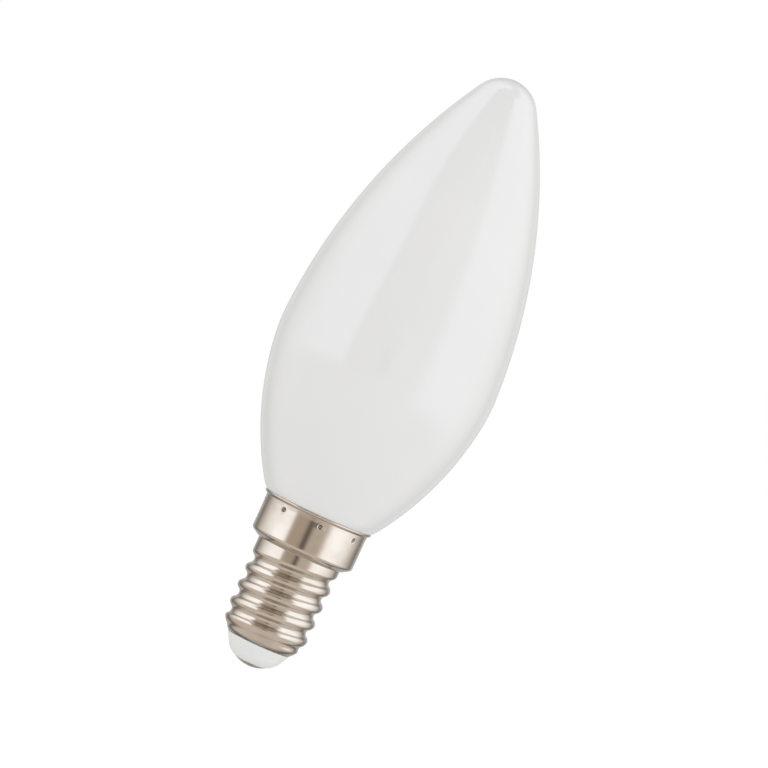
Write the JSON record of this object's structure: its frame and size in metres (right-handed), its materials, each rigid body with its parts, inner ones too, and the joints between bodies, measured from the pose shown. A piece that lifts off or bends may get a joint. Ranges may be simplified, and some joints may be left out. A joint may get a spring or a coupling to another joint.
{
  "type": "candle lamp bulb",
  "caption": "Opal glass candle-shaped lamp bulb with a small Edison screw cap: rolled thread, flared skirt, white insulator and domed centre contact.",
  "frame": {"origin": "centre of the contact's flat face, where the lamp meets the bottom of its holder", "axes": "+Z along the lamp's axis, from the contact to the glass tip; +X and +Y are any two square directions across it"},
  "size_m": [0.0354, 0.0354, 0.099],
  "materials": {
    "opal_glass": "smooth opal white glass, glossy, can't be seen through",
    "nickel_plate": "bright, slightly warm nickel plate",
    "white_insulator": "satin white moulding",
    "contact_metal": "bright nickel plate",
    "cement": "dull hard-set cement"
  },
  "bodies": {
    "root": {"glass_envelope": "opal_glass", "screw_shell": "nickel_plate", "insulator": "white_insulator", "centre_contact": "contact_metal", "capping_cement": "cement"}
  },
  "joints": []
}
